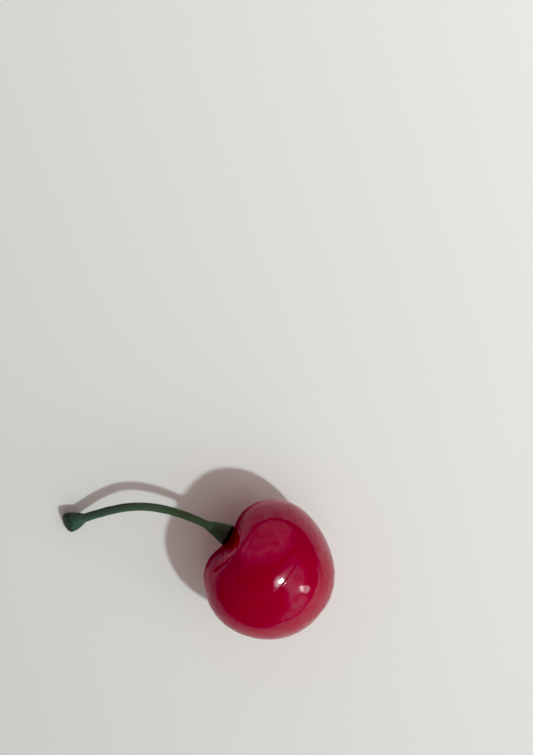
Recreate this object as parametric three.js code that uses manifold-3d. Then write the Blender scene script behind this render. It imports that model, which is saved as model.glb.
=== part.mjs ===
// A cherry as picked, lying on its side: the plump fruit, and the stem that leaves the valley at its top,
// arches away and comes down until its flared end touches the surface.
// Millimetres, +Z up. The origin is on the fruit's flat resting spot, straight under its middle.

import * as THREE from "three";
import { mergeVertices } from "three/addons/utils/BufferGeometryUtils.js";
import Module from "manifold-3d";

// The fruit in its own frame: z runs out through the stem end, x towards the higher shoulder.
const HALF_WIDTH = 12.8; // middle to each cheek, along x
const HALF_DEPTH = 12.65; // middle to each seam side, along y
const HALF_AXIS = 12.15; // middle to the stem end and to the blossom end, before they are hollowed
const BLOSSOM_TAPER = 0.023; // share by which the blossom end is slimmer
const SHOULDER_SWELL = 0.044; // share by which the shoulders stand out all round
const SHOULDER_SPREAD = 0.043; // share by which they stand out at the cheeks and draw in at the seam sides
const HIGH_SHOULDER_SWELL = 0.048; // share by which the higher shoulder stands out beyond the other
const ROUND_CORNERS = 0.015; // share by which the cross-section fills out towards a rounded square
const SHOULDER_TILT = 0.055; // rise of the stem end for each millimetre towards the higher shoulder
const STEM_END_SHARPNESS = 3; // how quickly the stem end's own shape fades out past the middle

// The stem valley is a trough between the shoulders that ends at a rounded lip on each seam side.
const VALLEY_DEPTH = 2.7;
const VALLEY_HALF_WIDTH = 4.65;
const VALLEY_OFFSET = -0.35; // its middle, towards the lower shoulder
const VALLEY_FLANK = 0.9; // 1 is a bell-shaped section, less makes the flanks straighter
const VALLEY_ROUNDING = 0.02; // keeps its bottom round
const VALLEY_HALF_LENGTH = 9.3;
const VALLEY_LIP_SHARPNESS = 6; // how sharply it ends at the lips, an even number

// The blossom end has a small round dimple where the flower sat.
const DIMPLE_DEPTH = 0.35;
const DIMPLE_RADIUS = 1.3;

// How the fruit lies.
const AXIS_AZIMUTH = 139.6; // degrees from +X, counterclockwise seen from above
const AXIS_ELEVATION = -3.5; // degrees above the level
const AXIS_SPIN = -91.6; // degrees about its own axis, which brings the higher shoulder to the +Y side
const FLAT_SPOT_DEPTH = 0.2; // how much of the round underside the flat spot takes away

// The stem's centreline is one Bezier curve, from the middle of the foot's rim to the middle of the far end.
const STEM_FOOT = [-7.45, 6.55, 11.65];
const STEM_FOOT_PULL = [-23.0, 14.9, 10.6];
const STEM_END_PULL = [-27.6, 11.2, 6.9];
const STEM_END = [-38.4, 7.95, 2.1];

// The stem's radii and lengths, measured along that centreline.
const PEG_RADIUS = 0.75; // the core that runs on from the foot into the fruit
const PEG_LENGTH = 1.5;
const FOOT_RADIUS = 2.08;
const FOOT_LENGTH = 4.65;
const FOOT_DOME = 0.5; // how far the underside of the foot bulges into its seat
const FOOT_EDGE = 0.15; // rounding of the foot's rim
const STALK_FOOT_RADIUS = 0.69;
const STALK_NECK_RADIUS = 0.74;
const FLARE_LENGTH = 4.3;
const FLARE_RADIUS = 1.88;
const FLARE_FULLNESS = 1.8; // 1 is a plain cone, more makes the flared end a fuller bell
const FLARE_EDGE = 0.4; // rounding of the flared end's rim

// The flat end is cut askew, nearly upright: the way that it faces, in degrees as for the fruit's axis.
const END_FACE_AZIMUTH = -159;
const END_FACE_ELEVATION = 9;

// Clearance between the stem and the seat that holds it.
const GAP = 0.3;

// Facets.
const FRUIT_AROUND = 72;
const FRUIT_ALONG = 44;
const STEM_AROUND = 24;
const STALK_STEPS = 28;
const FLARE_STEPS = 6;
const EDGE_STEPS = 4;
const DOME_STEPS = 4;

const wasm = await Module();
wasm.setup();

// A mesh as a solid in the part's frame.
function solidOf(mesh) {
  mesh.updateWorldMatrix(true, false);
  const bare = new THREE.BufferGeometry();
  bare.setAttribute("position", mesh.geometry.getAttribute("position").clone());
  bare.setIndex(mesh.geometry.index);
  const merged = mergeVertices(bare.applyMatrix4(mesh.matrixWorld), 1e-5);
  const vertProperties = merged.attributes.position.array;
  const triVerts = new Uint32Array(merged.index.array);
  return new wasm.Manifold(new wasm.Mesh({ numProp: 3, vertProperties, triVerts }));
}

// Cuts the tools out of a mesh where they all stand, and keeps the mesh in its own frame.
function cutFrom(mesh, tools) {
  const left = tools.reduce((body, tool) => body.subtract(solidOf(tool)), solidOf(mesh)).getMesh();
  const geometry = new THREE.BufferGeometry();
  geometry.setAttribute("position", new THREE.BufferAttribute(new Float32Array(left.vertProperties), 3));
  geometry.setIndex(new THREE.BufferAttribute(new Uint32Array(left.triVerts), 1));
  geometry.applyMatrix4(mesh.matrixWorld.clone().invert());
  geometry.computeVertexNormals();
  mesh.geometry = geometry;
}

// Where a direction from the fruit's middle meets its skin.
function skinPoint(direction) {
  const along = direction.z;
  const side = Math.hypot(direction.x, direction.y);
  const around = Math.atan2(direction.y, direction.x);
  const taper = 1 - (BLOSSOM_TAPER * (1 - along)) / 2;
  const shoulders = along * side ** 2 * (SHOULDER_SWELL + SHOULDER_SPREAD * Math.cos(2 * around));
  const highShoulder = along * side * HIGH_SHOULDER_SWELL * Math.cos(around);
  const corners = -ROUND_CORNERS * side ** 4 * Math.cos(4 * around);
  const swell = taper * (1 + shoulders + highShoulder + corners);
  const x = HALF_WIDTH * direction.x * swell;
  const y = HALF_DEPTH * direction.y * swell;
  const stemEnd = (1 + Math.tanh(STEM_END_SHARPNESS * along)) / 2;
  const across = ((x - VALLEY_OFFSET) / VALLEY_HALF_WIDTH) ** 2 + VALLEY_ROUNDING;
  const lengthwise = (y / VALLEY_HALF_LENGTH) ** VALLEY_LIP_SHARPNESS;
  const valley = VALLEY_DEPTH * Math.exp(-(across ** VALLEY_FLANK) - lengthwise);
  const dimple = DIMPLE_DEPTH * Math.exp(-(x ** 2 + y ** 2) / DIMPLE_RADIUS ** 2);
  const z = HALF_AXIS * along + stemEnd * (SHOULDER_TILT * x - valley) + (1 - stemEnd) * dimple;
  return new THREE.Vector3(x, y, z);
}

function fruitGeometry() {
  const geometry = new THREE.SphereGeometry(1, FRUIT_AROUND, FRUIT_ALONG).rotateX(Math.PI / 2);
  const position = geometry.getAttribute("position");
  const direction = new THREE.Vector3();
  for (let i = 0; i < position.count; i += 1) {
    direction.fromBufferAttribute(position, i).normalize();
    position.setXYZ(i, ...skinPoint(direction));
  }
  return geometry;
}

// The fruit on its side, sunk by the depth of its flat spot into the plane z = 0.
function layDown(fruit) {
  const lean = new THREE.Group();
  const turn = new THREE.Group();
  fruit.rotation.z = THREE.MathUtils.degToRad(AXIS_SPIN);
  lean.rotation.y = THREE.MathUtils.degToRad(90 - AXIS_ELEVATION);
  turn.rotation.z = THREE.MathUtils.degToRad(AXIS_AZIMUTH);
  turn.add(lean.add(fruit));
  const lowest = new THREE.Box3().setFromObject(turn, true).min.z;
  turn.position.z = -lowest - FLAT_SPOT_DEPTH;
  return turn;
}

const centreline = new THREE.CubicBezierCurve3(
  new THREE.Vector3(...STEM_FOOT),
  new THREE.Vector3(...STEM_FOOT_PULL),
  new THREE.Vector3(...STEM_END_PULL),
  new THREE.Vector3(...STEM_END),
);
const stemLength = centreline.getLength();

// The point of a quarter-round edge, from the side (step 0) round to the face (last step).
function edgePoint(radius, face, edge, step, facing) {
  const turn = (Math.PI / 2) * (step / EDGE_STEPS);
  return [radius - edge * (1 - Math.cos(turn)), face - facing * edge * (1 - Math.sin(turn))];
}

// The outline of the stem as if it stood straight: [radius, distance from the foot's rim].
function stemOutline() {
  const outline = [
    [0, -PEG_LENGTH],
    [PEG_RADIUS, -PEG_LENGTH],
  ];
  for (let step = 0; step < DOME_STEPS; step += 1) {
    const radius = THREE.MathUtils.lerp(PEG_RADIUS, FOOT_RADIUS - FOOT_EDGE, step / DOME_STEPS);
    const drop = FOOT_DOME * (1 - (radius / FOOT_RADIUS) ** 2);
    outline.push([radius, -drop]);
  }
  for (let step = EDGE_STEPS; step >= 0; step -= 1) {
    outline.push(edgePoint(FOOT_RADIUS, 0, FOOT_EDGE, step, -1));
  }
  const stalkLength = stemLength - FOOT_LENGTH - FLARE_LENGTH;
  for (let step = 0; step <= STALK_STEPS; step += 1) {
    const share = step / STALK_STEPS;
    const radius = THREE.MathUtils.lerp(STALK_FOOT_RADIUS, STALK_NECK_RADIUS, share);
    outline.push([radius, FOOT_LENGTH + stalkLength * share]);
  }
  for (let step = 1; step < FLARE_STEPS; step += 1) {
    const share = step / FLARE_STEPS;
    const radius = THREE.MathUtils.lerp(FLARE_RADIUS, STALK_NECK_RADIUS, (1 - share) ** FLARE_FULLNESS);
    outline.push([radius, stemLength - FLARE_LENGTH + (FLARE_LENGTH - FLARE_EDGE) * share]);
  }
  for (let step = 0; step <= EDGE_STEPS; step += 1) {
    outline.push(edgePoint(FLARE_RADIUS, stemLength, FLARE_EDGE, step, 1));
  }
  outline.push([0, stemLength]);
  return outline.map(([radius, distance]) => new THREE.Vector2(radius, distance));
}

// A unit vector from its azimuth and elevation in degrees.
function heading(azimuth, elevation) {
  const rise = THREE.MathUtils.degToRad(elevation);
  const turn = THREE.MathUtils.degToRad(azimuth);
  const level = Math.cos(rise);
  return new THREE.Vector3(level * Math.cos(turn), level * Math.sin(turn), Math.sin(rise));
}

// Carries a body that stands straight along +Y onto the centreline, foot rim to y = 0.
function bendAlongStem(geometry) {
  const up = new THREE.Vector3(0, 0, 1);
  const endFace = heading(END_FACE_AZIMUTH, END_FACE_ELEVATION);
  const position = geometry.getAttribute("position");
  for (let i = 0; i < position.count; i += 1) {
    const distance = position.getY(i);
    const share = THREE.MathUtils.clamp(distance / stemLength, 0, 1);
    const tangent = centreline.getTangentAt(share);
    const sideways = new THREE.Vector3().crossVectors(up, tangent).normalize();
    const over = new THREE.Vector3().crossVectors(sideways, tangent);
    const offset = sideways.multiplyScalar(position.getX(i)).addScaledVector(over, position.getZ(i));
    const flareShare = THREE.MathUtils.clamp(1 - (stemLength - distance) / FLARE_LENGTH, 0, 1);
    const skew = (-flareShare * offset.dot(endFace)) / tangent.dot(endFace);
    const point = centreline.getPointAt(share).add(offset);
    point.addScaledVector(tangent, distance - share * stemLength + skew);
    position.setXYZ(i, ...point);
  }
  return geometry;
}

// The room that the fruit leaves for the stem: a shallow round seat for the foot, a blind hole for its core.
function seatGeometry() {
  const outline = [
    [0, -PEG_LENGTH - GAP],
    [PEG_RADIUS + GAP, -PEG_LENGTH - GAP],
    [PEG_RADIUS + GAP, -FOOT_DOME - GAP],
    [FOOT_RADIUS + GAP, -GAP],
    [FOOT_RADIUS + GAP, FOOT_LENGTH],
    [0, FOOT_LENGTH],
  ];
  const points = outline.map(([radius, distance]) => new THREE.Vector2(radius, distance));
  return bendAlongStem(new THREE.LatheGeometry(points, STEM_AROUND));
}

// A slab under the plane that the cherry lies on.
function groundSlab() {
  const side = 4 * HALF_WIDTH;
  return new THREE.Mesh(new THREE.BoxGeometry(side, side, side).translate(0, 0, -side / 2));
}

function makeFruit() {
  const skin = new THREE.MeshStandardMaterial({ color: "#93001b", roughness: 0.12, metalness: 0 });
  const fruit = new THREE.Mesh(fruitGeometry(), skin);
  fruit.name = "fruit";
  const placed = layDown(fruit);
  cutFrom(fruit, [groundSlab(), new THREE.Mesh(seatGeometry())]);
  return placed;
}

function makeStem() {
  const green = new THREE.MeshStandardMaterial({ color: "#2e3c2c", roughness: 0.6, metalness: 0 });
  const stem = new THREE.Mesh(bendAlongStem(new THREE.LatheGeometry(stemOutline(), STEM_AROUND)), green);
  stem.name = "stem";
  return stem;
}

const cherry = new THREE.Group();
cherry.add(makeFruit(), makeStem());

export default cherry;
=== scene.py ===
"""A cherry lying on its side, seen from straight above: glossy crimson fruit, matte dark green stem.

The shapes are worked out in millimetres in the part's frame, the shaders and the stage in metres, and a name
that ends in _MM is in millimetres too. Angles are in degrees: an azimuth from +X, counterclockwise seen from
above, and an elevation above the level.
"""

import math

import bpy
import numpy as np
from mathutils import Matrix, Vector


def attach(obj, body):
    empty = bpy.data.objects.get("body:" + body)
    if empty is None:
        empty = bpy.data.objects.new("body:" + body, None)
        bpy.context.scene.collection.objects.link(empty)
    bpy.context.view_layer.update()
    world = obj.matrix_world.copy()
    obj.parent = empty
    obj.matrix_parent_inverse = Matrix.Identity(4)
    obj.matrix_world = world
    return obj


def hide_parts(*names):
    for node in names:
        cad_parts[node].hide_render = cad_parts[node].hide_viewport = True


MM = 0.001

# The fruit in its own frame, as in the part's source: z runs out through the stem end, x towards the higher
# shoulder.
HALF_WIDTH = 12.8  # middle to each cheek, along x
HALF_DEPTH = 12.65  # middle to each seam side, along y
HALF_AXIS = 12.15  # middle to the stem end and to the blossom end, before they are hollowed
BLOSSOM_TAPER = 0.023  # share by which the blossom end is slimmer
SHOULDER_SWELL = 0.044  # share by which the shoulders stand out all round
SHOULDER_SPREAD = 0.043  # share by which they stand out at the cheeks and draw in at the seam sides
HIGH_SHOULDER_SWELL = 0.048  # share by which the higher shoulder stands out beyond the other
ROUND_CORNERS = 0.015  # share by which the cross-section fills out towards a rounded square
SHOULDER_TILT = 0.055  # rise of the stem end for each millimetre towards the higher shoulder
STEM_END_SHARPNESS = 3.0  # how quickly the stem end's own shape fades out past the middle

# The stem valley is a trough between the shoulders that ends at a rounded lip on each seam side.
VALLEY_DEPTH = 2.7
VALLEY_HALF_WIDTH = 4.65
VALLEY_OFFSET = -0.35  # its middle, towards the lower shoulder
VALLEY_FLANK = 0.9  # 1 is a bell-shaped section, less makes the flanks straighter
VALLEY_ROUNDING = 0.02  # keeps its bottom round
VALLEY_HALF_LENGTH = 9.3
VALLEY_LIP_SHARPNESS = 6  # how sharply it ends at the lips, an even number

# The blossom end has a small round dimple.
DIMPLE_DEPTH = 0.35
DIMPLE_RADIUS = 1.3

# How the fruit lies.
AXIS_AZIMUTH = 139.6
AXIS_ELEVATION = -3.5
AXIS_SPIN = -91.6  # about its own axis, which brings the higher shoulder to the +Y side
FLAT_SPOT_DEPTH = 0.2  # how much of the round underside the flat spot takes away

# The fine crease on the upper side, in plan: its start, its bend and its end. The skin slopes down to it from
# one side, and from a low ridge along its other side.
CREASE_MM = ((1.04, -2.2), (2.76, -0.2), (4.84, 2.9))
CREASE_DEPTH = 0.09
CREASE_RIDGE = 0.09
CREASE_STEP = (-0.048, 0.24)  # between these distances from its line the skin rises to the ridge
CREASE_REACH = 2.4  # how far to each side the slopes reach
CREASE_STARTS = (-0.1, 0.25)  # where it deepens, in shares of its length
CREASE_ENDS = (0.5, 1.0)  # where it fades out again
CREASE_RUN_ON = 0.3  # how far past its ends its line is followed, in shares of its length

# Small blemishes on the upper side: place in plan, radius and height.
MARKS_MM = (
    ((-3.3, -0.1), 0.5, 0.018),
    ((-4.6, -4.75), 0.6, 0.015),
    ((6.4, -1.95), 0.3, -0.02),
)
UPPER_SIDE = 0.3  # the crease and the marks are only where the z of the skin's normal is above this

# Four points set the curve of the stem's middle line, from the middle of the foot's rim to the far end's.
STEM_FOOT = (-7.45, 6.55, 11.65)
STEM_FOOT_PULL = (-23.0, 14.9, 10.6)
STEM_END_PULL = (-27.6, 11.2, 6.9)
STEM_END = (-38.4, 7.95, 2.1)

# The stem's radii and lengths along that line. Next to the part's source the stalk is a little thicker, and
# the flared end has a rounder rim and more tilt.
PEG_RADIUS = 0.75  # the core that runs on from the foot into the fruit
PEG_LENGTH = 1.5
FOOT_RADIUS = 2.08
FOOT_LENGTH = 4.65
FOOT_DOME = 0.5  # how far the underside of the foot bulges into its seat
FOOT_EDGE = 0.15  # rounding of the foot's rim
STALK_FOOT_RADIUS = 0.71
STALK_NECK_RADIUS = 0.82
FLARE_LENGTH = 4.3
FLARE_RADIUS = 1.88
FLARE_FULLNESS = 1.8  # 1 is a plain cone, more makes the flared end a fuller bell
FLARE_EDGE = 0.75  # rounding of the flared end's rim
END_FACE_HOLLOW = 0.05  # how far the middle of the end face lies behind its rim
END_FACE_AZIMUTH = -159.0
END_FACE_ELEVATION = 18.0
STEM_CLEARANCE = 0.05  # least height of the flared end above the surface

# The seat in the fruit for the stem's foot, with a hole for its core.
GAP = 0.3  # clearance round the foot and the core
SEAT_MARGIN = 0.02  # how much deeper still the seat's floor is
SEAT_FULLNESS = 1.5  # 1 makes its floor a cone, more makes it rounder
SEAT_WALL = (-0.05, 0.12)  # where its wall starts and ends, from its radius
HOLE_WALL = (-0.1, 0.05)  # the same for the hole
SEAT_REACH = 3.0  # skin that lies further below the foot's rim stays as it is

# Smooth random relief: height, wavelength, number of waves and seed.
SKIN_RIPPLES = (0.0065, 2.6, 40, 3)
SKIN_SWELLS = (0.012, 7.5, 30, 5)
STEM_FIBRES = (0.012, 0.8, 24, 11)
STEM_LUMPS = (0.015, 2.4, 24, 13)
WAVELENGTH_SPREAD = (0.75, 1.35)
FIBRE_STRETCH = 0.12  # how far a step along the stem takes the fibres on, which makes them long
RELIEF_STARTS = (0.3, 1.0)  # where the stem's relief starts, from the foot's rim
RELIEF_ENDS = 0.6  # how far before the end face it fades out

# How fine the meshes are.
FRUIT_AROUND = 420
FRUIT_ALONG = 220
STEM_AROUND = 64
DOME_STEPS = 12
EDGE_STEPS = 6
FOOT_STEPS = 24
STALK_STEPS = 260
FLARE_STEPS = 24
FACE_STEPS = 4
CURVE_STEPS = 2000
# Where the fruit's rings lie closer together: share of the way from the stem end, reach and closeness.
CLOSE_AT_STEM = (0.0, 0.12, 0.62)
CLOSE_AT_CREASE = (0.6, 0.08, 0.68)
CLOSE_ON_TOP = 0.5  # how much closer its lengthwise edges lie on the upper side
TURN_TESTS = 721  # directions round the axis in which the upper side is looked for

TANGENT_STEP = 1e-3  # share of the middle line over which its direction is measured
TINY = 1e-12  # keeps a direction's length from being nothing


def new_object(name, vertices, faces, material, smooth=True):
    mesh = bpy.data.meshes.new(name)
    mesh.from_pydata([tuple(v) for v in vertices], [], [tuple(f) for f in faces])
    mesh.update()
    if smooth:
        mesh.polygons.foreach_set("use_smooth", [True] * len(mesh.polygons))
    mesh.materials.append(material)
    obj = bpy.data.objects.new(name, mesh)
    bpy.context.scene.collection.objects.link(obj)
    return obj


def heading(azimuth, elevation):
    """Unit vector towards an azimuth and an elevation."""
    a, e = math.radians(azimuth), math.radians(elevation)
    return np.array([math.cos(e) * math.cos(a), math.cos(e) * math.sin(a), math.sin(e)])


def rotation(axis, degrees):
    """Matrix of a turn about the z or the y axis."""
    a = math.radians(degrees)
    c, s = math.cos(a), math.sin(a)
    if axis == "z":
        return np.array([[c, -s, 0], [s, c, 0], [0, 0, 1]])
    return np.array([[c, 0, s], [0, 1, 0], [-s, 0, c]])


def unit(vectors):
    return vectors / np.linalg.norm(vectors, axis=1)[:, None]


def smoothstep(low, high, value):
    t = np.clip((value - low) / (high - low), 0, 1)
    return t * t * (3 - 2 * t)


def wavy(points, height, wavelength, count, seed):
    """Smooth random relief of about this height, as a sum of plane waves through space."""
    rng = np.random.default_rng(seed)
    directions = unit(rng.normal(size=(count, 3)))
    lengths = wavelength * rng.uniform(*WAVELENGTH_SPREAD, count)
    phases = rng.uniform(0, 2 * math.pi, count)
    waves = np.sin(points @ (directions * (2 * math.pi / lengths)[:, None]).T + phases)
    return height * (waves.sum(axis=1) / math.sqrt(count / 2))


# ---------------------------------------------------------------- the stem's middle line


def bezier(t):
    t = np.asarray(t)[:, None]
    p = [np.array(q) for q in (STEM_FOOT, STEM_FOOT_PULL, STEM_END_PULL, STEM_END)]
    return (1 - t) ** 3 * p[0] + 3 * (1 - t) ** 2 * t * p[1] + 3 * (1 - t) * t**2 * p[2] + t**3 * p[3]


CURVE_T = np.linspace(0, 1, CURVE_STEPS + 1)
CURVE_PIECES = np.linalg.norm(np.diff(bezier(CURVE_T), axis=0), axis=1)
CURVE_LENGTHS = np.concatenate([[0], np.cumsum(CURVE_PIECES)])
STEM_LENGTH = CURVE_LENGTHS[-1]


def curve_frame(distance):
    """Point, tangent, sideways and over vectors at distances from the foot's rim, past the ends in line."""
    inside = np.clip(distance, 0, STEM_LENGTH)
    t = np.interp(inside, CURVE_LENGTHS, CURVE_T)
    tangent = unit(bezier(np.minimum(t + TANGENT_STEP, 1)) - bezier(np.maximum(t - TANGENT_STEP, 0)))
    sideways = unit(np.cross([0.0, 0.0, 1.0], tangent))
    over = np.cross(sideways, tangent)
    return bezier(t) + (distance - inside)[:, None] * tangent, tangent, sideways, over


# ---------------------------------------------------------------- fruit


def skin(directions):
    """The fruit's skin in its own frame, for unit directions from its middle."""
    along = directions[:, 2]
    side = np.hypot(directions[:, 0], directions[:, 1])
    around = np.arctan2(directions[:, 1], directions[:, 0])
    taper = 1 - BLOSSOM_TAPER * (1 - along) / 2
    shoulders = along * side**2 * (SHOULDER_SWELL + SHOULDER_SPREAD * np.cos(2 * around))
    high_shoulder = along * side * HIGH_SHOULDER_SWELL * np.cos(around)
    corners = -ROUND_CORNERS * side**4 * np.cos(4 * around)
    swell = taper * (1 + shoulders + high_shoulder + corners)
    x = HALF_WIDTH * directions[:, 0] * swell
    y = HALF_DEPTH * directions[:, 1] * swell
    stem_end = (1 + np.tanh(STEM_END_SHARPNESS * along)) / 2
    across = ((x - VALLEY_OFFSET) / VALLEY_HALF_WIDTH) ** 2 + VALLEY_ROUNDING
    lengthwise = (y / VALLEY_HALF_LENGTH) ** VALLEY_LIP_SHARPNESS
    valley = VALLEY_DEPTH * np.exp(-(across**VALLEY_FLANK) - lengthwise)
    dimple = DIMPLE_DEPTH * np.exp(-(x**2 + y**2) / DIMPLE_RADIUS**2)
    z = HALF_AXIS * along + stem_end * (SHOULDER_TILT * x - valley) + (1 - stem_end) * dimple
    return np.stack([x, y, z], axis=1)


LAY = rotation("z", AXIS_AZIMUTH) @ rotation("y", 90 - AXIS_ELEVATION) @ rotation("z", AXIS_SPIN)


def ring_angles():
    """Angles from the stem end, closer together where the stem sits and at the crease."""
    share = (np.arange(FRUIT_ALONG) + 0.5) / FRUIT_ALONG
    spacing = np.ones(FRUIT_ALONG)
    for place, reach, closeness in (CLOSE_AT_STEM, CLOSE_AT_CREASE):
        spacing -= closeness * np.exp(-(((share - place) / reach) ** 2))
    angles = np.concatenate([[0], np.cumsum(spacing)])
    return angles * math.pi / angles[-1]


def column_angles():
    """Angles round the axis, closer together on the upper side."""
    turns = np.linspace(0, 2 * math.pi, TURN_TESTS)
    rim = np.stack([np.cos(turns), np.sin(turns), 0 * turns], axis=1) @ LAY.T
    top = turns[np.argmax(rim[:, 2])]
    even = np.arange(FRUIT_AROUND) * 2 * math.pi / FRUIT_AROUND
    return top + even - CLOSE_ON_TOP * np.sin(even)


def fruit_grid():
    """Directions from the fruit's middle and faces of the closed skin, with one vertex at each pole."""
    rings = ring_angles()[1:-1]
    columns = column_angles()
    ring, column = np.meshgrid(rings, columns, indexing="ij")
    directions = np.stack(
        [np.sin(ring) * np.cos(column), np.sin(ring) * np.sin(column), np.cos(ring)], axis=-1
    ).reshape(-1, 3)
    directions = np.vstack([directions, [[0, 0, 1]], [[0, 0, -1]]])
    count, last = len(columns), len(rings) - 1
    top, bottom = len(directions) - 2, len(directions) - 1
    i = np.arange(last)[:, None]
    j = np.arange(count)[None, :]
    k = (j + 1) % count
    quads = np.stack(
        [i * count + j, (i + 1) * count + j, (i + 1) * count + k, i * count + k], axis=-1
    ).reshape(-1, 4)
    faces = quads.tolist()
    for a in range(count):
        b = (a + 1) % count
        faces.append([top, a, b])
        faces.append([bottom, last * count + b, last * count + a])
    return directions, faces


def normals_of(points, faces):
    quads = np.array([f if len(f) == 4 else f + [f[2]] for f in faces])
    a, b, c, d = (points[quads[:, n]] for n in range(4))
    cross = np.cross(c - a, d - b) + TINY
    normals = np.zeros_like(points)
    for n in range(4):
        np.add.at(normals, quads[:, n], cross)
    return unit(normals)


def along_crease(points):
    """Signed distance from the crease in plan, positive towards its ridge, and the share along it."""
    start, bend, end = (np.array(p) for p in CREASE_MM)
    share = (points[:, :2] - start) @ (end - start) / ((end - start) @ (end - start))
    share = np.clip(share, -CREASE_RUN_ON, 1 + CREASE_RUN_ON)
    pull = 2 * bend - (start + end) / 2
    t = share[:, None]
    curve = (1 - t) ** 2 * start + 2 * (1 - t) * t * pull + t**2 * end
    tangent = unit(2 * (1 - t) * (pull - start) + 2 * t * (end - pull))
    offset = points[:, :2] - curve
    return tangent[:, 1] * offset[:, 0] - tangent[:, 0] * offset[:, 1], share


def crease(points):
    signed, share = along_crease(points)
    strength = smoothstep(*CREASE_STARTS, share) * (1 - smoothstep(*CREASE_ENDS, share))
    step = smoothstep(*CREASE_STEP, signed)
    slope = np.clip(1 - np.abs(signed) / CREASE_REACH, 0, 1) ** 2
    return strength * slope * (CREASE_RIDGE * step - CREASE_DEPTH * (1 - step))


def marks(points):
    relief = np.zeros(len(points))
    for (x, y), radius, height in MARKS_MM:
        apart = np.hypot(points[:, 0] - x, points[:, 1] - y)
        relief += height * np.exp(-((apart / radius) ** 2))
    return relief


def sink_seat(points):
    """Presses the seat for the stem's foot and the hole for its core into the skin."""
    origin, tangent, _, _ = (v[0] for v in curve_frame(np.array([0.0])))
    offset = points - origin
    height = offset @ tangent
    across = offset - height[:, None] * tangent
    radius = np.linalg.norm(across, axis=1)
    seat, hole = FOOT_RADIUS + GAP, PEG_RADIUS + GAP
    share = np.clip((radius - PEG_RADIUS - GAP) / (FOOT_RADIUS - PEG_RADIUS), 0, 1)
    floor = -GAP - FOOT_DOME * (1 - share**SEAT_FULLNESS) - SEAT_MARGIN
    wall = smoothstep(seat + SEAT_WALL[0], seat + SEAT_WALL[1], radius)
    sunk = height * wall + np.minimum(height, floor) * (1 - wall)
    core = 1 - smoothstep(hole + HOLE_WALL[0], hole + HOLE_WALL[1], radius)
    sunk = sunk * (1 - core) + np.minimum(sunk, -PEG_LENGTH - GAP) * core
    moved = origin + across + sunk[:, None] * tangent
    near = (radius < seat + SEAT_WALL[1]) & (height > -SEAT_REACH)
    return np.where(near[:, None], moved, points)


def make_fruit(material):
    directions, faces = fruit_grid()
    placed = skin(directions) @ LAY.T
    placed[:, 2] += -placed[:, 2].min() - FLAT_SPOT_DEPTH
    normals = normals_of(placed, faces)
    relief = wavy(placed, *SKIN_RIPPLES) + wavy(placed, *SKIN_SWELLS)
    relief += (crease(placed) + marks(placed)) * (normals[:, 2] > UPPER_SIDE)
    placed = sink_seat(placed + normals * relief[:, None])
    placed[:, 2] = np.maximum(placed[:, 2], 0)
    return new_object("fruit_skin", placed * MM, faces, material)


# ---------------------------------------------------------------- stem


def rounded_edge(radius, face, edge, facing):
    """Outline of a rounded rim from side to face, where facing is 1 towards the far end and -1 back."""
    turns = np.linspace(0, math.pi / 2, EDGE_STEPS + 1)
    return [
        (radius - edge * (1 - math.cos(t)), face - facing * edge * (1 - math.sin(t))) for t in turns
    ]


def steps_between(count):
    """Shares of a way in equal steps, without its two ends."""
    return np.linspace(0, 1, count + 1)[1:-1]


def stem_outline():
    """Radius and distance along the middle line, from the core's tip to the middle of the end face."""
    outline = [(PEG_RADIUS, -PEG_LENGTH)]
    for share in np.linspace(0, 1, DOME_STEPS, endpoint=False):
        radius = PEG_RADIUS + (FOOT_RADIUS - FOOT_EDGE - PEG_RADIUS) * share
        outline.append((radius, -FOOT_DOME * (1 - (radius / FOOT_RADIUS) ** 2)))
    outline += rounded_edge(FOOT_RADIUS, 0, FOOT_EDGE, -1)[::-1]
    for share in steps_between(FOOT_STEPS):
        radius = FOOT_RADIUS + (STALK_FOOT_RADIUS - FOOT_RADIUS) * share
        outline.append((radius, FOOT_EDGE + (FOOT_LENGTH - FOOT_EDGE) * share))
    neck = STEM_LENGTH - FLARE_LENGTH
    for share in np.linspace(0, 1, STALK_STEPS + 1):
        radius = STALK_FOOT_RADIUS + (STALK_NECK_RADIUS - STALK_FOOT_RADIUS) * share
        outline.append((radius, FOOT_LENGTH + (neck - FOOT_LENGTH) * share))
    for share in steps_between(FLARE_STEPS):
        radius = FLARE_RADIUS + (STALK_NECK_RADIUS - FLARE_RADIUS) * (1 - share) ** FLARE_FULLNESS
        outline.append((radius, neck + (FLARE_LENGTH - FLARE_EDGE) * share))
    outline += rounded_edge(FLARE_RADIUS, STEM_LENGTH, FLARE_EDGE, 1)
    for share in steps_between(FACE_STEPS)[::-1]:
        radius = (FLARE_RADIUS - FLARE_EDGE) * share
        outline.append((radius, STEM_LENGTH - END_FACE_HOLLOW * (1 - share)))
    return np.array(outline)


def tube_faces(rings, count):
    """Faces of a tube of rings that ends in a vertex at each end, numbered after the rings' vertices."""
    faces = []
    for i in range(rings - 1):
        a, b = i * count, (i + 1) * count
        for j in range(count):
            k = (j + 1) % count
            faces.append((a + j, b + j, b + k, a + k))
    first, last = rings * count, rings * count + 1
    end = (rings - 1) * count
    for j in range(count):
        k = (j + 1) % count
        faces.append((first, j, k))
        faces.append((last, end + k, end + j))
    return faces


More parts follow.
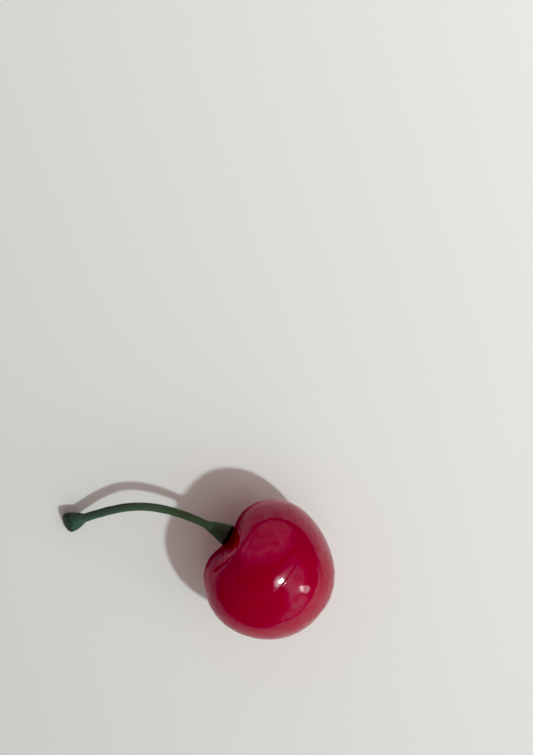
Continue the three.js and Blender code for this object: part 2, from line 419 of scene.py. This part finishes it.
def make_stem(material):
    outline = stem_outline()
    radius = np.repeat(outline[:, 0], STEM_AROUND)
    distance = np.repeat(outline[:, 1], STEM_AROUND)
    turn = np.tile(np.arange(STEM_AROUND) * 2 * math.pi / STEM_AROUND, len(outline))
    local = np.stack([radius * np.cos(turn), radius * np.sin(turn), distance], axis=1)
    relief = wavy(local * [1, 1, FIBRE_STRETCH], *STEM_FIBRES) + wavy(local, *STEM_LUMPS)
    fading = smoothstep(STEM_LENGTH - RELIEF_ENDS, STEM_LENGTH, distance)
    strength = smoothstep(*RELIEF_STARTS, distance) * (1 - fading)
    radius = radius + relief * strength
    point, tangent, sideways, over = curve_frame(distance)
    offset = sideways * (radius * np.cos(turn))[:, None] + over * (radius * np.sin(turn))[:, None]
    face = heading(END_FACE_AZIMUTH, END_FACE_ELEVATION)
    flare = np.clip(1 - (STEM_LENGTH - distance) / FLARE_LENGTH, 0, 1)
    skew = -flare * (offset @ face) / (tangent @ face)
    vertices = point + offset + tangent * skew[:, None]
    vertices[:, 2] = np.maximum(vertices[:, 2], STEM_CLEARANCE)
    ends = curve_frame(np.array([-PEG_LENGTH, STEM_LENGTH - END_FACE_HOLLOW]))[0]
    vertices = np.vstack([vertices, ends])
    obj = new_object("stem_skin", vertices * MM, tube_faces(len(outline), STEM_AROUND), material)
    along = obj.data.attributes.new("along", "FLOAT", "POINT")
    values = np.append(distance, [-PEG_LENGTH, STEM_LENGTH]) / STEM_LENGTH
    along.data.foreach_set("value", values.astype(np.float32))
    return obj


# ---------------------------------------------------------------- shader nodes


def feed(tree, socket, value):
    """Links a socket to another node's output, or sets it to a value."""
    if isinstance(value, bpy.types.NodeSocket):
        tree.links.new(value, socket)
    else:
        socket.default_value = value


def maths(tree, operation, a, b=0.0):
    n = tree.nodes.new("ShaderNodeMath")
    n.operation = operation
    feed(tree, n.inputs[0], a)
    feed(tree, n.inputs[1], b)
    return n.outputs["Value"]


def vector_maths(tree, operation, a, b):
    n = tree.nodes.new("ShaderNodeVectorMath")
    n.operation = operation
    feed(tree, n.inputs[0], a)
    feed(tree, n.inputs["Scale"] if operation == "SCALE" else n.inputs[1], b)
    return n.outputs["Value" if operation in ("DISTANCE", "DOT_PRODUCT") else "Vector"]


def map_range(tree, value, start, stop, low=0.0, high=1.0, kind="LINEAR"):
    """Runs from low to high while the value runs from start to stop."""
    n = tree.nodes.new("ShaderNodeMapRange")
    n.interpolation_type = kind
    n.inputs["From Min"].default_value = start
    n.inputs["From Max"].default_value = stop
    n.inputs["To Min"].default_value = low
    n.inputs["To Max"].default_value = high
    tree.links.new(value, n.inputs["Value"])
    return n.outputs["Result"]


def noise(tree, place, **settings):
    n = tree.nodes.new("ShaderNodeTexNoise")
    for name, value in settings.items():
        n.inputs[name].default_value = value
    tree.links.new(place, n.inputs["Vector"])
    return n.outputs["Fac"]


def bump(tree, height, strength, distance):
    n = tree.nodes.new("ShaderNodeBump")
    n.inputs["Strength"].default_value = strength
    n.inputs["Distance"].default_value = distance
    tree.links.new(height, n.inputs["Height"])
    return n.outputs["Normal"]


def ramp(tree, factor, stops):
    n = tree.nodes.new("ShaderNodeValToRGB")
    elements = n.color_ramp.elements
    for position, _ in stops[1:-1]:
        elements.new(position)
    for element, (position, colour) in zip(elements, stops):
        element.position = position
        element.color = (*colour, 1)
    tree.links.new(factor, n.inputs["Fac"])
    return n.outputs["Color"]


def mixed(tree, factor, a, b):
    """Colour a where the factor is 0, b where it is 1. The node's colour sockets only have numbers."""
    n = tree.nodes.new("ShaderNodeMix")
    n.data_type = "RGBA"
    n.clamp_factor = True
    feed(tree, n.inputs["Factor"], factor)
    feed(tree, n.inputs[6], a)
    feed(tree, n.inputs[7], b)
    return n.outputs[2]


def new_material(name, settings):
    """A material, its node tree, its shader with these values set, and the place on the piece."""
    material = bpy.data.materials.new(name)
    material.use_nodes = True
    tree = material.node_tree
    shader = tree.nodes["Principled BSDF"]
    for socket, value in settings.items():
        shader.inputs[socket].default_value = value
    return material, tree, shader, tree.nodes.new("ShaderNodeTexCoord").outputs["Object"]


# ---------------------------------------------------------------- materials

SKIN_FINISH = {
    "Specular IOR Level": 0.0,
    "Roughness": 0.4,
    "Coat IOR": 1.8,
    "Coat Roughness": 0.12,
    "Subsurface Weight": 0.15,
    "Subsurface Radius": (1.0, 0.03, 0.05),
    "Subsurface Scale": 0.0025,
}
# The skin's two reds, by the value of its cloudy noise.
SKIN_REDS = ((0.3, (0.270, 0.0, 0.014)), (0.7, (0.322, 0.0, 0.017)))
SKIN_CLOUDS = {"Scale": 110.0, "Detail": 4.0, "Roughness": 0.55}
# The lacquer on it: from where to where in its smeary noise it goes from the thinner weight to the thicker.
LACQUER = (0.3, 0.7, 0.6, 0.9)
LACQUER_SMEARS = {"Scale": 420.0, "Detail": 4.0, "Distortion": 1.5}
LACQUER_PEEL = {"Scale": 1300.0, "Detail": 2.0}
PEEL_STRENGTH = 0.06
PEEL_HEIGHT = 0.0002
# Round the stem's foot the skin's red is darkened as painted shade in the stem's hollow, and the lacquer is
# duller: the distances from the foot between which that changes, and the share that is left at the nearer
# one.
VALLEY_PAINTED_SHADE = (0.005, 0.0095, 0.25)
VALLEY_DULLNESS = (0.0065, 0.0115, 0.65)
# The lacquer is duller on one side too: where that side is, the distances towards it between which the
# lacquer changes, and the share that is left at the farther one.
DULL_AZIMUTH = -155
DULL_SIDE = (0.004, 0.0105, 0.77)

STEM_FINISH = {
    "Roughness": 0.7,
    "Specular IOR Level": 0.15,
    "Subsurface Weight": 0.6,
    "Subsurface Radius": (0.5, 1.0, 0.6),
    "Subsurface Scale": 0.002,
}
# The stem's greens, by the share of its length from the foot. The lighter green near the foot is painted
# light that lifts the foot where it lies in the fruit's shadow.
STEM_GREENS_AND_PAINTED_LIGHT = (
    (0.0, (0.046, 0.163, 0.105)),
    (0.1, (0.052, 0.142, 0.08)),
    (0.14, (0.05, 0.11, 0.06)),
    (0.28, (0.042, 0.1, 0.052)),
    (0.45, (0.057, 0.132, 0.079)),
    (0.75, (0.042, 0.108, 0.074)),
    (0.87, (0.042, 0.118, 0.077)),
    (1.0, (0.025, 0.093, 0.057)),
)
STEM_GRAIN = {"Scale": 2500.0, "Detail": 3.0}
GRAIN_STRENGTH = 0.35
GRAIN_HEIGHT = 0.00015

FLOOR_FINISH = {"Roughness": 0.9, "Specular IOR Level": 0.1}
# The pale sheet on the table: its middle, its half width and half length, and its soft edge.
SHEET_MIDDLE = (0.0, 0.07)
SHEET_HALF = (0.054, 0.13)
SHEET_EDGE = 0.05
SHEET_COLOUR = (0.80, 0.80, 0.785)
# Painted light on the sheet, lighter towards +X and +Y: how light it is at the origin, how much lighter it
# gets with each metre, and the limits to that.
SHEET_PAINTED_LIGHT = 0.97
SHEET_PAINTED_LIGHT_DRIFT = (1.9, 0.7, 0.0)
SHEET_PAINTED_LIGHT_RANGE = (0.84, 1.16)
# More pale sheets beyond the first, round and as soft edged: middle and radius.
FAR_SHEETS = (((0.15, -0.13, 0.0), 0.12), ((-0.13, 0.15, 0.0), 0.11))
TABLE_COLOUR = (0.18, 0.2, 0.34, 1)


def fruit_material():
    material, tree, shader, place = new_material("fruit_skin", SKIN_FINISH)
    from_foot = vector_maths(tree, "DISTANCE", place, [v * MM for v in STEM_FOOT])

    reds = ramp(tree, noise(tree, place, **SKIN_CLOUDS), SKIN_REDS)
    # Painted shade: the reds are darkened round the stem's foot.
    near, far, left = VALLEY_PAINTED_SHADE
    painted_shade = map_range(tree, from_foot, near, far, left, 1)
    tree.links.new(vector_maths(tree, "SCALE", reds, painted_shade), shader.inputs["Base Color"])

    lacquer = map_range(tree, noise(tree, place, **LACQUER_SMEARS), *LACQUER)
    to_side = vector_maths(tree, "DOT_PRODUCT", place, heading(DULL_AZIMUTH, 0))
    near, far, left = DULL_SIDE
    lacquer = maths(tree, "MULTIPLY", lacquer, map_range(tree, to_side, near, far, 1, left))
    near, far, left = VALLEY_DULLNESS
    lacquer = maths(tree, "MULTIPLY", lacquer, map_range(tree, from_foot, near, far, left, 1))
    tree.links.new(lacquer, shader.inputs["Coat Weight"])

    peel = noise(tree, place, **LACQUER_PEEL)
    tree.links.new(bump(tree, peel, PEEL_STRENGTH, PEEL_HEIGHT), shader.inputs["Coat Normal"])
    return material


def stem_material():
    material, tree, shader, place = new_material("stem_green", STEM_FINISH)
    along = tree.nodes.new("ShaderNodeAttribute")
    along.attribute_name = "along"
    # The greens along the stem, lighter at the foot as painted light.
    tree.links.new(ramp(tree, along.outputs["Fac"], STEM_GREENS_AND_PAINTED_LIGHT), shader.inputs["Base Color"])
    grain = noise(tree, place, **STEM_GRAIN)
    tree.links.new(bump(tree, grain, GRAIN_STRENGTH, GRAIN_HEIGHT), shader.inputs["Normal"])
    return material


def floor_material():
    """The camera sees the pale sheet all over. The skin mirrors the sheets and the table between them."""
    material, tree, shader, place = new_material("floor_paper", FLOOR_FINISH)
    apart = tree.nodes.new("ShaderNodeSeparateXYZ")
    tree.links.new(place, apart.inputs["Vector"])
    beyond = []
    for axis in range(2):
        offset = maths(tree, "SUBTRACT", apart.outputs[axis], SHEET_MIDDLE[axis])
        beyond.append(maths(tree, "SUBTRACT", maths(tree, "ABSOLUTE", offset), SHEET_HALF[axis]))
    nearest = maths(tree, "MAXIMUM", *beyond)
    for middle, radius in FAR_SHEETS:
        away = vector_maths(tree, "DISTANCE", place, middle)
        nearest = maths(tree, "MINIMUM", nearest, maths(tree, "SUBTRACT", away, radius))
    rays = tree.nodes.new("ShaderNodeLightPath")
    unseen = maths(tree, "SUBTRACT", 1, rays.outputs["Is Camera Ray"])
    outside = maths(tree, "MULTIPLY", maths(tree, "DIVIDE", nearest, SHEET_EDGE), unseen)
    # Painted light: the sheet's colour is made lighter towards +X and +Y.
    painted_light = maths(tree, "ADD", vector_maths(tree, "DOT_PRODUCT", place, SHEET_PAINTED_LIGHT_DRIFT), SHEET_PAINTED_LIGHT)
    darkest, lightest = SHEET_PAINTED_LIGHT_RANGE
    painted_light = maths(tree, "MINIMUM", maths(tree, "MAXIMUM", painted_light, darkest), lightest)
    sheet = vector_maths(tree, "SCALE", SHEET_COLOUR, painted_light)
    tree.links.new(mixed(tree, outside, sheet, TABLE_COLOUR), shader.inputs["Base Color"])
    return material


# ---------------------------------------------------------------- stage

FLOOR_HALF = 1.5
FLOOR_DROP = 0.00002  # keeps the floor clear of the fruit's flat spot

# The camera is straight above, with the top of the picture towards +Y.
CAMERA_PLACE_MM = (-0.467, 35.5, 323.0)
CAMERA_LENS_MM = 81.06
CAMERA_SENSOR_MM = 36.0
CAMERA_NEAREST = 0.01

# The key light comes from where the shadows say, and the skin mirrors it from beside that.
KEY_DIRECTION = (0.513, -0.361, 1.0)
GLINT_DIRECTION = heading(-32.6, 62.3)
KEY_ANGLE = 2.8
KEY_STRENGTH = 1.52
KEY_COLOUR = (0.912, 1.005, 1.02)
# The soft side light that fills the shadows.
FILL_DIRECTION = heading(-40, 45)
FILL_ANGLE = 80
FILL_STRENGTH = 0.98
FILL_COLOUR = (1.0, 0.9, 0.875)
SUN_DISTANCE = 0.6
# A spot light straight down on the fruit's shadow, with the red that cherries beside this one would throw.
BOUNCE_PLACE_MM = (-12.0, 11.0, 90.0)
BOUNCE_RADIUS_MM = 4.0
BOUNCE_CONE = 22
BOUNCE_POWER = 0.009
BOUNCE_COLOUR = (1.0, 0.06, 0.09)
# Soft oval lamps that face the fruit: azimuth and elevation, width and height, and radiance.
LAMPS = {
    "lamp": ((-24.6, 26), (0.05, 0.085), 8.0),
    "far_lamp": ((-22, 15), (0.09, 0.1), 2.5),
}
LAMP_COLOUR = (1.0, 0.95, 0.9)
LAMP_DISTANCE = 0.5
LAMP_TARGET = Vector((0, 0, 0.012))

# The room's light, what the skin mirrors of the room on top of it, and what the camera sees of the room on
# top of it past the floor.
ROOM_COLOUR = (0.27, 0.265, 0.235)
MIRRORED_COLOUR = (0.0, 0.0, 0.1)
BACKDROP_COLOUR = (0.4, 0.4, 0.42)
# Soft patches of the room that the skin mirrors: azimuth, elevation, half angle inside and outside, and
# radiance.
GLOWS = (
    (100, 26, 34, 58, (0.85, 0.41, 0.38)),
    (62, 12, 8, 24, (0.1, 0.1, 0.08)),
    (140, 2, 8, 22, (0.15, 0.13, 0.1)),
    (180, 5, 20, 60, (0.0, 0.0, 0.06)),
    (-13, 44, 9, 30, (0.54, 0.56, 0.55)),
    (-40, 25, 8, 20, (0.42, 0.4, 0.41)),
    (-52, 0, 14, 28, (0.46, 0.46, 0.41)),
    (-33, 65, 2, 11, (2.4, 2.4, 2.4)),
)

# How much of the darkest tone the picture drops, as a camera's own processing does.
BLACK_LEVEL = (0.006, 0.034, 0.021)


def make_floor():
    corners = [(x * FLOOR_HALF, y * FLOOR_HALF, 0) for x, y in ((-1, -1), (1, -1), (1, 1), (-1, 1))]
    floor = new_object("floor", corners, [(0, 1, 2, 3)], floor_material(), smooth=False)
    floor.location.z = -FLOOR_DROP


def make_camera():
    data = bpy.data.cameras.new("camera")
    data.lens = CAMERA_LENS_MM
    data.sensor_width = CAMERA_SENSOR_MM
    data.clip_start = CAMERA_NEAREST
    camera = bpy.data.objects.new("camera", data)
    camera.location = [v * MM for v in CAMERA_PLACE_MM]
    bpy.context.scene.collection.objects.link(camera)
    bpy.context.scene.camera = camera


def new_light(name, kind, place, energy, colour, **settings):
    """A light that points straight down."""
    data = bpy.data.lights.new(name, kind)
    data.energy = energy
    data.color = colour
    for setting, value in settings.items():
        setattr(data, setting, value)
    light = bpy.data.objects.new(name, data)
    light.location = place
    bpy.context.scene.collection.objects.link(light)
    return light


def aim(light, target):
    light.rotation_euler = (Vector(target) - light.location).to_track_quat("-Z", "Y").to_euler()


def sun(name, direction, angle, strength, colour):
    place = Vector(direction).normalized() * SUN_DISTANCE
    light = new_light(name, "SUN", place, strength, colour, angle=math.radians(angle))
    aim(light, (0, 0, 0))
    return light


def make_lights():
    key = sun("key", KEY_DIRECTION, KEY_ANGLE, KEY_STRENGTH, KEY_COLOUR)
    key.visible_glossy = False
    glint = sun("glint", GLINT_DIRECTION, KEY_ANGLE, KEY_STRENGTH, KEY_COLOUR)
    glint.visible_diffuse = False
    fill = sun("fill", FILL_DIRECTION, FILL_ANGLE, FILL_STRENGTH, FILL_COLOUR)
    fill.visible_glossy = False
    place = [v * MM for v in BOUNCE_PLACE_MM]
    bounce = new_light("bounce", "SPOT", place, BOUNCE_POWER, BOUNCE_COLOUR, spot_blend=1)
    bounce.data.spot_size = math.radians(BOUNCE_CONE)
    bounce.data.shadow_soft_size = BOUNCE_RADIUS_MM * MM
    bounce.visible_glossy = False
    for name, (direction, (width, height), radiance) in LAMPS.items():
        place = Vector(heading(*direction)) * LAMP_DISTANCE + LAMP_TARGET
        power = radiance * math.pi * width * height
        oval = {"shape": "ELLIPSE", "size": width, "size_y": height}
        aim(new_light(name, "AREA", place, power, LAMP_COLOUR, **oval), LAMP_TARGET)


def make_room():
    world = bpy.data.worlds.new("room")
    bpy.context.scene.world = world
    world.use_nodes = True
    tree = world.node_tree
    toward = tree.nodes.new("ShaderNodeTexCoord").outputs["Generated"]
    mirrored = MIRRORED_COLOUR
    for azimuth, elevation, inside, outside, radiance in GLOWS:
        nearness = vector_maths(tree, "DOT_PRODUCT", toward, heading(azimuth, elevation))
        edge, middle = (math.cos(math.radians(angle)) for angle in (outside, inside))
        share = map_range(tree, nearness, edge, middle, kind="SMOOTHSTEP")
        mirrored = vector_maths(tree, "ADD", mirrored, vector_maths(tree, "SCALE", radiance, share))
    rays = tree.nodes.new("ShaderNodeLightPath")
    seen = rays.outputs["Is Camera Ray"]
    share = maths(tree, "SUBTRACT", 1, rays.outputs["Is Diffuse Ray"])
    share = maths(tree, "SUBTRACT", share, seen)
    colour = vector_maths(tree, "ADD", ROOM_COLOUR, vector_maths(tree, "SCALE", mirrored, share))
    colour = vector_maths(tree, "ADD", colour, vector_maths(tree, "SCALE", BACKDROP_COLOUR, seen))
    tree.links.new(colour, tree.nodes["Background"].inputs["Color"])


def set_colours():
    view = bpy.context.scene.view_settings
    view.view_transform = "Standard"
    view.use_curve_mapping = True
    view.curve_mapping.black_level = BLACK_LEVEL
    view.curve_mapping.update()


# ---------------------------------------------------------------- build

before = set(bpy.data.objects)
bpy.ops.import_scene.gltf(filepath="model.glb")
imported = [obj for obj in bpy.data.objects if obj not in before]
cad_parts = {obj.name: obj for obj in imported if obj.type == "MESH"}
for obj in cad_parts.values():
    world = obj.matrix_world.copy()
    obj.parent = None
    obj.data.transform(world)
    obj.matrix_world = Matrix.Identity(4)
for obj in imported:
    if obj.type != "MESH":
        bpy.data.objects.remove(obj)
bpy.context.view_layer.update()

fruit = make_fruit(fruit_material())
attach(fruit, "root")
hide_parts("fruit")

stem = make_stem(stem_material())
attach(stem, "root")
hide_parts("stem")

make_floor()
make_camera()
make_lights()
make_room()
set_colours()
